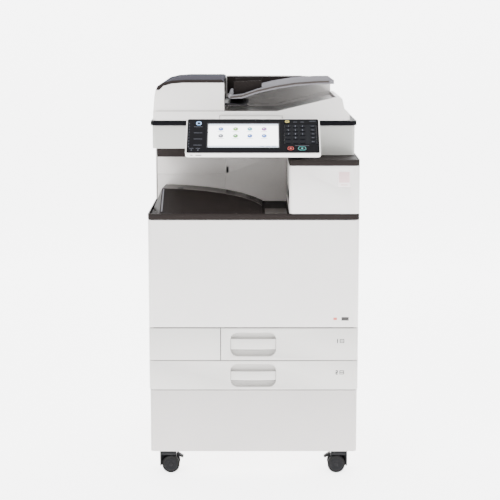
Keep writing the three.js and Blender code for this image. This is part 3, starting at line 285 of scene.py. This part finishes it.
def close_prism(bm, first, second, material=0):
    """Closes two matching rings of points into a solid."""
    faces = [bm.faces.new(first[::-1]), bm.faces.new(second)]
    for i in range(len(first)):
        j = (i + 1) % len(first)
        faces.append(bm.faces.new((first[i], first[j], second[j], second[i])))
    for face in faces:
        face.material_index = material


def add_prism(bm, points, y, material=0):
    """An outline of X and Z values carried between two values of Y."""
    rings = [[bm.verts.new((px, depth, pz)) for px, pz in points] for depth in y]
    close_prism(bm, *rings, material)


STROKES = {
    "0": "abcdef", "1": "bc", "2": "abged", "3": "abgcd", "4": "fgbc",
    "5": "afgcd", "6": "afgedc", "7": "abc", "8": "abcdefg", "9": "abfgcd",
}


def add_digit(bm, digit, x, y, height, thick, z, weight=0.16):
    """A numeral in plain strokes, in the XY plane."""
    w, h, t = height * 0.5, height, height * weight
    runs = {
        "a": ((-w / 2, w / 2), (h / 2 - t, h / 2)), "d": ((-w / 2, w / 2), (-h / 2, -h / 2 + t)),
        "g": ((-w / 2, w / 2), (-t / 2, t / 2)), "b": ((w / 2 - t, w / 2), (0, h / 2)),
        "c": ((w / 2 - t, w / 2), (-h / 2, 0)), "f": ((-w / 2, -w / 2 + t), (0, h / 2)),
        "e": ((-w / 2, -w / 2 + t), (-h / 2, 0)),
    }
    for stroke in STROKES[digit]:
        (x0, x1), (y0, y1) = runs[stroke]
        add_box(bm, (x + x0, x + x1), (y + y0, y + y1), (z, z + thick))


# Panel pieces are drawn flat, u up the face and height along its normal.
TILT = math.radians(39.0)
PANEL_FOOT = (0, FRONT - 0.085, 0.9248)  # middle of the face's lower edge
PANEL = Matrix.Translation(PANEL_FOOT) @ Matrix.Rotation(TILT, 4, "X")
FACE_TOP = 0.0005
PRINT_THICK = 0.00012


def panel_u(row):
    """Height up the face, in metres, from a share of the face's height above its lower edge."""
    return 0.0025 + 0.133 * row


# Display contents: a generic menu of round icons with caption lines.
ICONS = [
    (0.18, 0.74, srgb(60, 105, 180)), (0.39, 0.74, srgb(110, 165, 50)), (0.595, 0.74, srgb(60, 150, 160)),
    (0.80, 0.74, srgb(140, 70, 150)), (0.18, 0.44, srgb(110, 112, 118)), (0.39, 0.44, srgb(70, 140, 40)),
    (0.595, 0.44, srgb(50, 95, 170)), (0.80, 0.44, srgb(55, 105, 185)),
]
SCREEN_X = (-0.1235, 0.067)
SCREEN_U = (0.0245, 0.1155)


def draw_icons(bm):
    for i, (across, up, _) in enumerate(ICONS):
        x = SCREEN_X[0] + across * (SCREEN_X[1] - SCREEN_X[0])
        u = SCREEN_U[0] + up * (SCREEN_U[1] - SCREEN_U[0])
        add_disc(bm, (x, u + 0.004, 0.0002), 0.0070, 0.0003, sides=24, material=i + 1)
        add_disc(bm, (x - 0.0012, u + 0.0058, 0.0004), 0.0021, 0.0002, sides=16, material=0)
        caption = (u - 0.0068, u - 0.0056)
        add_box(bm, (x - 0.0085, x + 0.0085), caption, (0.0002, 0.0003), material=len(ICONS) + 1)


icon_paints = [lit("icon_shine", srgb(205, 214, 228), 0.4)]
icon_paints += [lit(f"icon_{i}", colour, 0.1) for i, (_, _, colour) in enumerate(ICONS)]
icon_paints += [lit("icon_caption", srgb(120, 124, 132), 0.2)]
piece("display_icons", "panel", icon_paints, draw_icons, at=PANEL)


def draw_screen_bars(bm):
    add_box(bm, SCREEN_X, (SCREEN_U[1] - 0.0065, SCREEN_U[1]), (0.0002, 0.0004), material=0)
    add_box(bm, SCREEN_X, (SCREEN_U[0], SCREEN_U[0] + 0.006), (0.0002, 0.0004), material=0)
    tab_u = (SCREEN_U[0] + 0.0016, SCREEN_U[0] + 0.0044)
    for i in range(3):
        x = SCREEN_X[1] - 0.012 - 0.016 * i
        add_box(bm, (x - 0.006, x + 0.006), tab_u, (0.0004, 0.0005), material=1)


screen_bar = lit("screen_bar", srgb(196, 208, 224), 1.4)
screen_tab = lit("screen_tab", srgb(120, 140, 168), 0.3)
piece("display_bars", "panel", [screen_bar, screen_tab], draw_screen_bars, at=PANEL)


def draw_bezel(bm):
    lo, hi, width = 0.001, 0.002, 0.0022
    x0, x1 = SCREEN_X[0] - lo, SCREEN_X[1] + lo
    u0, u1 = SCREEN_U[0] - lo, SCREEN_U[1] + lo
    for xs, us in (
        ((x0 - width, x1 + width), (u0 - width, u0)), ((x0 - width, x1 + width), (u1, u1 + width)),
        ((x0 - width, x0), (u0, u1)), ((x1, x1 + width), (u0, u1)),
    ):
        add_box(bm, xs, us, (FACE_TOP, FACE_TOP + 0.0004))


BEZEL = surface("display_bezel", srgb(16, 16, 20), 0.3, depth=0.03)
piece("display_bezel", "panel", [BEZEL], draw_bezel, at=PANEL)


# Print on the panel face.
def draw_face_print(bm):
    z = (FACE_TOP, FACE_TOP + PRINT_THICK)
    for i in range(9):
        u = panel_u(0.16 + 0.085 * i)
        add_box(bm, (-0.1765, -0.1755), (u, u + 0.005), z)
    for i in range(4):
        u = panel_u(0.22 + 0.18 * i)
        add_box(bm, (-0.163, -0.140), (u, u + 0.0010), z)
    for x in (-0.168, -0.150):
        add_disc(bm, (x, panel_u(0.08), FACE_TOP), 0.0016, PRINT_THICK, sides=12)
        add_box(bm, (x - 0.006, x + 0.006), (panel_u(0.125), panel_u(0.125) + 0.001), z)
    for x in (0.094, 0.114, 0.1335):
        add_box(bm, (x - 0.005, x + 0.005), (panel_u(0.905), panel_u(0.905) + 0.0009), z)
    add_box(bm, (0.153, 0.171), (panel_u(0.93), panel_u(0.93) + 0.0010), z)
    add_box(bm, (0.112, 0.150), (panel_u(0.205), panel_u(0.205) + 0.0009), z)


piece("panel_print", "panel", [INK], draw_face_print, at=PANEL)


# Numerals on the number keys and marks on the side keys.
KEY_TOP = 0.0016
KEY_ROWS = (0.106, 0.090, 0.075, 0.060)
LAST_ROW = 0.044
KEY_COLUMNS = (0.0945, 0.114, 0.1335)
SIDE_KEYS = (0.1575, 0.1655)


def draw_key_print(bm):
    for u, row in zip(KEY_ROWS, ("123", "456", "789", " 0 ")):
        for x, digit in zip(KEY_COLUMNS, row):
            if digit != " ":
                add_digit(bm, digit, x, u, 0.0052, PRINT_THICK, KEY_TOP)
    for u in (LAST_ROW,) + KEY_ROWS[::-1]:
        add_box(bm, SIDE_KEYS, (u - 0.0004, u + 0.0006), (KEY_TOP, KEY_TOP + PRINT_THICK))


piece("key_print", "panel", [INK], draw_key_print, at=PANEL)


# Key caps: a coloured border round a dark middle. Two keys have a thin border and a coloured mark.
def add_plate(bm, x, u, half, z, material=0):
    """A thin plate with round corners, centred on x and u."""
    w, h = half
    r = min(w, h) * 0.8
    points = []
    for turn, (cx, cy) in enumerate(((w - r, h - r), (r - w, h - r), (r - w, r - h), (w - r, r - h))):
        for step in range(5):
            a = math.radians(90.0 * turn + 22.5 * step)
            points.append((x + cx + r * math.cos(a), u + cy + r * math.sin(a)))
    rings = [[bm.verts.new((px, py, height)) for px, py in points] for height in z]
    close_prism(bm, *rings, material)


# Slot, centre, half size and main finish of each function key.
KEY_CAPS = {
    "start_key": ("key_green", (0.131, 0.018), (0.0105, 0.0070), lit("start_glow", srgb(40, 140, 134), 0.25)),
    "stop_key": ("key_red", (0.100, 0.018), (0.0080, 0.0065), lit("stop_glow", srgb(186, 62, 52), 0.2)),
    "reset_key": ("key_yellow", (0.092, 0.1235), (0.0060, 0.0045), lit("reset_cap", srgb(150, 136, 40), 0.0)),
    "home_key": ("key_grey", (-0.150, 0.1165), (0.0075, 0.0075), lit("home_cap", srgb(120, 160, 205), 0.1)),
}
OUTLINED = ("start_key", "stop_key")
THIN_BORDER = 0.0012
WIDE_BORDER = 0.0034
for key, (slot, (x, u), (w, h), glow) in KEY_CAPS.items():

    def draw_cap(bm, x=x, u=u, w=w, h=h, outlined=key in OUTLINED):
        border = THIN_BORDER if outlined else WIDE_BORDER
        add_plate(bm, x, u, (w, h), (0.0020, 0.0022))
        add_plate(bm, x, u, (w - border, h - border), (0.0022, 0.0023), material=1)
        if outlined:
            add_plate(bm, x, u, (0.0024, 0.0024), (0.0023, 0.0024))

    piece(key + "_cap", "panel", [glow, KEYS], draw_cap, at=PANEL)


# Two card slots on the panel's lower rim.
def draw_rim_slots(bm):
    for x, half in ((-0.1676, 0.0032), (-0.1485, 0.0080)):
        add_box(bm, (x - half, x + half), (-0.0002, 0.0012), (-0.0075, -0.0045))


piece("rim_slots", "panel", [CHARCOAL], draw_rim_slots, at=PANEL)


# ---------------------------------------------------------------- exit tower reader mark
def draw_reader(bm):
    y = FRONT + 0.002
    x0, x1 = HALF - 0.061, HALF - 0.026
    z0, z1 = 0.8235, 0.869
    add_box(bm, (x0, x1), (y - 0.0006, y), (z0, z1), material=1)
    add_box(bm, (x0 + 0.003, x1 - 0.003), (y - 0.0009, y - 0.0006), (z0 + 0.013, z1 - 0.003), material=0)
    add_box(bm, (x0 + 0.008, x1 - 0.008), (y - 0.0009, y - 0.0006), (z0 + 0.005, z0 + 0.0075), material=0)


piece("reader_mark", "frame", [BADGE, BADGE_EDGE], draw_reader, edge=0.0002)


# ---------------------------------------------------------------- tray numerals and paper marks
def tray_mark(name, body, digit, z):
    def draw(bm):
        turn = Matrix.Rotation(math.radians(90.0), 4, "X")
        add_digit(bm, digit, 0.2335, z, 0.0120, 0.0002, 0.0, weight=0.2)
        for x in (0.2415, 0.2525):
            add_box(bm, (x, x + 0.0016), (z - 0.0055, z + 0.0055), (0.0, 0.0002))
        for level in (-0.0055, -0.0008, 0.0039):
            add_box(bm, (0.2431, 0.2525), (z + level, z + level + 0.0016), (0.0, 0.0002))
        bmesh.ops.transform(bm, matrix=Matrix.Translation((0, FRONT, 0)) @ turn, verts=bm.verts)

    piece(name, body, [INK_DARK], draw)


tray_mark("tray_1_mark", "tray_1", "1", 0.3900)
tray_mark("tray_2_mark", "tray_2", "2", 0.3000)


# ---------------------------------------------------------------- painted shadow lines under and at the ends of the grip bars
GRIP_SHADOW_GREY = surface("grip_shadow_grey", srgb(88, 86, 84), 0.6, specular=0.1)
GRIP_MIDDLE = -0.001
GRIP_HALF = 0.0645
GRIPS = {"tray_1": (0.3650, 0.3950), "tray_2": (0.2760, 0.3020)}  # lower and upper edge of each bar
for tray, (low, high) in GRIPS.items():

    def draw_grip_shadow(bm, low=low, high=high):
        shares = [v / 4 for v in range(-4, 5)]
        plan = [(GRIP_MIDDLE + GRIP_HALF * v, FRONT + 0.0012 + 0.0037 * v * v) for v in shares]
        plan += [(GRIP_MIDDLE + side * GRIP_HALF, FRONT + 0.0075) for side in (1, -1)]
        under = [bm.verts.new((x, y, low - 0.0009)) for x, y in plan]
        upper = [bm.verts.new((x, y, low)) for x, y in plan]
        close_prism(bm, under, upper)
        for x in (-0.0648, 0.0620):
            add_box(bm, (x, x + 0.0008), (FRONT + 0.0040, FRONT + 0.0050), (low, high))

    piece(tray + "_grip_shadow", tray, [GRIP_SHADOW_GREY], draw_grip_shadow)


# ---------------------------------------------------------------- front cover seals, plain and unprinted
def draw_seals(bm):
    y = (FRONT - 0.0002, FRONT)
    add_box(bm, (0.2455, 0.2660), y, (0.4485, 0.4585), material=0)
    add_box(bm, (0.2230, 0.2330), y, (0.4500, 0.4570), material=1)


SEAL_RED = surface("seal_red", srgb(190, 92, 80), 0.4)
piece("cover_seals", "front_cover", [SEAL_AND_SHADOW_GREY, SEAL_RED], draw_seals)


# ---------------------------------------------------------------- dark strips set deep in the seams of the front: painted shade in the gaps
SEAM_LEVELS = (0.2484, 0.3334, 0.4264)
SEAM_THICK = 0.0012


def draw_seam_shade(bm):
    depth = (FRONT + 0.005, FRONT + 0.0245)
    for z in SEAM_LEVELS:
        add_box(bm, (-0.2800, 0.2800), depth, (z, z + SEAM_THICK))
    add_box(bm, (-0.0931, -0.0931 + SEAM_THICK), depth, (0.3350, 0.4255))


piece("front_seam_shade", "frame", [CHARCOAL], draw_seam_shade)


# ---------------------------------------------------------------- feeder trim
HOUSE_FRONT = -0.1155
HOUSE_RIGHT = -0.0835
DOC_FRONT = -0.0995
REAR_BOX = 0.2565
ARCH_START = (-0.0665, 1.0605)
ARCH_STEPS = [(0.0, 0.006), (0.034, 0.010), (0.075, 0.024), (0.127, 0.036), (0.183, 0.045)]
ARCH_STEPS += [(0.251, 0.050), (0.296, 0.0505)]
ARCH = [(ARCH_START[0] + x, ARCH_START[1] + z) for x, z in ARCH_STEPS]  # upper edge of the document tray


def draw_cover_band(bm):
    lower = [(-0.2765, 1.0850), (-0.2680, 1.0850), (-0.2564, 1.0966), (-0.2317, 1.1030), (-0.2015, 1.1055)]
    end = HOUSE_RIGHT - 0.0025
    lower += [(end, 1.1055), (end, 1.1100), (end - 0.0045, 1.1132)]
    upper = [(-0.1955, 1.1132), (-0.2310, 1.1106), (-0.2566, 1.1043), (-0.2715, 1.0948)]
    add_prism(bm, lower + upper, (HOUSE_FRONT - 0.0004, HOUSE_FRONT))


# A thin dark outline along the top and sides of the lift lip on the feeder base: a painted shadow line.
def draw_lip_shadow(bm):
    left, right, foot, top = -0.0975, 0.0825, 1.0020, 1.0119
    depth = (-0.1198, -0.1195)
    add_box(bm, (left, right), depth, (top - 0.0007, top))
    for x in (left, right - 0.0008):
        add_box(bm, (x, x + 0.0008), depth, (foot, top))


piece("feeder_lip_shadow", "feeder", [SEAL_AND_SHADOW_GREY], draw_lip_shadow)
piece("feeder_cover_band", "feeder_cover", [CHARCOAL], draw_cover_band)


def draw_tray_edge(bm):
    run = ARCH[:-1] + [(ARCH[-1][0] - 0.014, ARCH[-1][1])]
    top = [(x, z - 0.0014) for x, z in run]
    under = [(x, z - 0.0066) for x, z in reversed(run)]
    add_prism(bm, top + under, (DOC_FRONT - 0.0005, DOC_FRONT))


TAUPE = surface("taupe_trim", srgb(58, 53, 51), 0.5, depth=0.1, specular=0.1)
piece("document_tray_edge", "document_tray", [TAUPE], draw_tray_edge)


# A dark sheet on the rear box face under the document tray: painted shade in the opening below the tray.
def draw_rear_box_shade(bm):
    left = HOUSE_RIGHT + 0.0015
    front = [(left, 1.1086), (0.1700, 1.1086)]
    front += [(x, z - 0.010) for x, z in reversed(ARCH[:-2])]
    add_prism(bm, front + [(left, 1.0560)], (REAR_BOX - 0.0006, REAR_BOX))
    add_box(bm, (left, 0.1500), (REAR_BOX + 0.001, REAR_BOX + 0.034), (1.1095, 1.1100))


piece("rear_box_shade", "feeder", [CHARCOAL], draw_rear_box_shade)


def draw_exit_guides(bm):
    wedge = [(HOUSE_RIGHT, 1.0405), (-0.0150, 1.0385), (-0.0150, 1.0415), (HOUSE_RIGHT, 1.0470)]
    add_prism(bm, wedge, (DOC_FRONT, 0.22))


piece("feeder_exit_guide", "feeder", [NYLON], draw_exit_guides)


# ---------------------------------------------------------------- output ramp surfaces
DECK_FLOOR = 0.7420
LIP = FRONT + 0.150
RAMP_REAR = 0.0820
RAMP_X = -HALF + 0.031
RAMP_REACH = 0.322
RAMP_RISE = 0.060
RAMP_FALL = 0.010
RAMP_POWER = 0.55
RAMP_STEPS = 7
RIB_START = -0.080
RAMP_END = 0.024


def ramp_rise(x):
    """Height of the ramp above the deck: a rounded hump that is highest at the left."""
    reach = min((x + HALF) / RAMP_REACH, 1.0)
    return 0.001 + RAMP_RISE * (1.0 - reach * reach) ** RAMP_POWER


RAMP_TURNS = [i / RAMP_STEPS * math.pi / 2 for i in range(RAMP_STEPS + 1)]
RAMP_XS = [RAMP_X + (RAMP_REACH - 0.033) * math.sin(turn) for turn in RAMP_TURNS]


def ramp_top(x):
    """Height of the ramp at its front lip and at its rear, straight between the ramp's own sections."""
    for a, b in zip(RAMP_XS, RAMP_XS[1:]):
        if x <= b + 1e-6:
            share = (x - a) / (b - a)
            rise = ramp_rise(a) * (1 - share) + ramp_rise(b) * share
            falls = [min(RAMP_FALL, ramp_rise(v) * 0.6) for v in (a, b)]
            fall = falls[0] * (1 - share) + falls[1] * share
            return DECK_FLOOR + rise, DECK_FLOOR + rise - fall
    return DECK_FLOOR, DECK_FLOOR


def ramp_strip(bm, xs, y, low, high, material=0):
    """A strip lying on the ramp between two depths, from low to high above its surface."""
    rings = []
    for x in xs:
        lip, rear = ramp_top(x)
        zs = [lip + (rear - lip) * (v - LIP) / (RAMP_REAR - LIP) for v in y]
        rings.append([
            bm.verts.new((x, y[0], zs[0] + low)), bm.verts.new((x, y[1], zs[1] + low)),
            bm.verts.new((x, y[1], zs[1] + high)), bm.verts.new((x, y[0], zs[0] + high)),
        ])
    faces = [bm.faces.new(rings[0]), bm.faces.new(rings[-1][::-1])]
    for a, b in zip(rings, rings[1:]):
        for i in range(4):
            j = (i + 1) % 4
            faces.append(bm.faces.new((a[i], b[i], b[j], a[j])))
    for face in faces:
        face.material_index = material


def draw_ramp_surface(bm):
    ramp_strip(bm, RAMP_XS[:-1] + [RAMP_END], (LIP + 0.003, RAMP_REAR - 0.001), 0.0, 0.0008)
    for i in range(8):
        y = LIP + 0.016 + 0.021 * i
        ramp_strip(bm, [RIB_START, *RAMP_XS[5:7], RAMP_END], (y, y + 0.003), 0.0008, 0.0022, material=1)
    top = ramp_top(-0.2100)[0]
    add_box(bm, (-0.2180, -0.2020), (LIP + 0.010, LIP + 0.045), (top - 0.002, top + 0.0012), material=2)
    # A lighter patch on the deck floor right of the ramp's end: painted sheen where the floor faces the
    # light.
    add_box(bm, (0.0320, 0.0940), (FRONT + 0.030, LIP + 0.02), (DECK_FLOOR, DECK_FLOOR + 0.0006))


RAMP_GREY = surface("ramp_grey", srgb(84, 80, 78), 0.55, depth=0.15, specular=0.12)
RIB_GREY = surface("rib_grey", srgb(58, 54, 52), 0.55, depth=0.1, specular=0.12)
piece("output_ramp_surface", "frame", [RAMP_GREY, RIB_GREY, NYLON], draw_ramp_surface)


# A lighter grey strip up the left end of the ramp's front slope: a painted highlight on that edge.
def draw_end_highlight(bm):
    foot = (FRONT + 0.046, DECK_FLOOR + 0.0072)
    lip = (LIP - 0.004, DECK_FLOOR + ramp_rise(RAMP_X) - 0.0022)
    left, right = RAMP_X + 0.003, RAMP_X + 0.007
    corners = [(left, *foot), (left, *lip), (right, *lip), (right, *foot)]
    low = [bm.verts.new(corner) for corner in corners]
    high = [bm.verts.new((x, y - 0.0003, z + 0.0014)) for x, y, z in corners]
    close_prism(bm, low, high)


piece("output_end_highlight", "frame", [MID_GREY], draw_end_highlight)


# ---------------------------------------------------------------- caster hubs
for corner in CORNERS:
    lo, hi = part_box("caster_wheels_" + corner)
    centre = (lo + hi) / 2

    def draw_hub(bm, lo=lo, hi=hi, centre=centre):
        out = Matrix.Rotation(math.radians(90.0), 4, "X")
        back = Matrix.Rotation(math.radians(-90.0), 4, "X")
        for y, turn in ((lo.y, out), (hi.y, back)):
            add_disc(bm, (centre.x, y, centre.z), 0.0175, 0.0006, turn, top=0.0165)
            add_disc(bm, (centre.x, y, centre.z), 0.0055, 0.0016, turn, top=0.0045, material=1)

    piece("caster_hubs_" + corner, "wheels_" + corner,
          [surface("hub_" + corner, srgb(20, 20, 22), 0.5, specular=0.1), NYLON], draw_hub)


# ---------------------------------------------------------------- stage: pale floor and soft studio light
SWEEP_START = 3.0
SWEEP_RADIUS = 1.5
BACKDROP_GLOW = 3.5


def draw_floor(bm):
    rows = [(-8.0, 0.0), (SWEEP_START, 0.0)]
    turns = [math.radians(15 * i) for i in range(1, 7)]
    rows += [(SWEEP_START + SWEEP_RADIUS * math.sin(a), SWEEP_RADIUS * (1.0 - math.cos(a))) for a in turns]
    rows += [(SWEEP_START + SWEEP_RADIUS, 6.0)]
    edges = []
    for y, z in rows:
        edges.append([bm.verts.new((x, y, z)) for x in (-9.0, 9.0)])
    for a, b in zip(edges, edges[1:]):
        bm.faces.new((a[0], a[1], b[1], b[0]))


backdrop_paint = surface("backdrop", srgb(250, 250, 250), 0.9, depth=0.0, wear=0.0)
backdrop_shader = backdrop_paint.node_tree.nodes["Principled BSDF"]
backdrop_shader.inputs["Emission Color"].default_value = (1.0, 1.0, 1.0, 1.0)
backdrop_shader.inputs["Emission Strength"].default_value = BACKDROP_GLOW
floor_mesh = bpy.data.meshes.new("backdrop")
floor_bm = bmesh.new()
draw_floor(floor_bm)
floor_bm.to_mesh(floor_mesh)
floor_bm.free()
for face in floor_mesh.polygons:
    face.use_smooth = True
floor_mesh.materials.append(backdrop_paint)
floor = bpy.data.objects.new("backdrop", floor_mesh)
bpy.context.scene.collection.objects.link(floor)


def area_light(name, place, target, size, power):
    data = bpy.data.lights.new(name, "AREA")
    data.shape = "RECTANGLE"
    data.size, data.size_y = size
    data.energy = power
    obj = bpy.data.objects.new(name, data)
    obj.location = place
    obj.rotation_euler = (Vector(target) - Vector(place)).to_track_quat("-Z", "Y").to_euler()
    bpy.context.scene.collection.objects.link(obj)


area_light("key", (-1.8, -2.8, 2.9), (0.0, 0.0, 0.6), (2.2, 2.2), 95.0)
area_light("fill", (2.4, -2.6, 1.6), (0.0, 0.0, 0.6), (2.0, 2.4), 60.0)
area_light("top", (0.0, 0.6, 3.4), (0.0, 0.0, 0.9), (2.6, 2.2), 60.0)

world = bpy.data.worlds.new("studio")
world.use_nodes = True
world.node_tree.nodes["Background"].inputs["Color"].default_value = (1.0, 1.0, 1.0, 1.0)
world.node_tree.nodes["Background"].inputs["Strength"].default_value = 1.5
bpy.context.scene.world = world
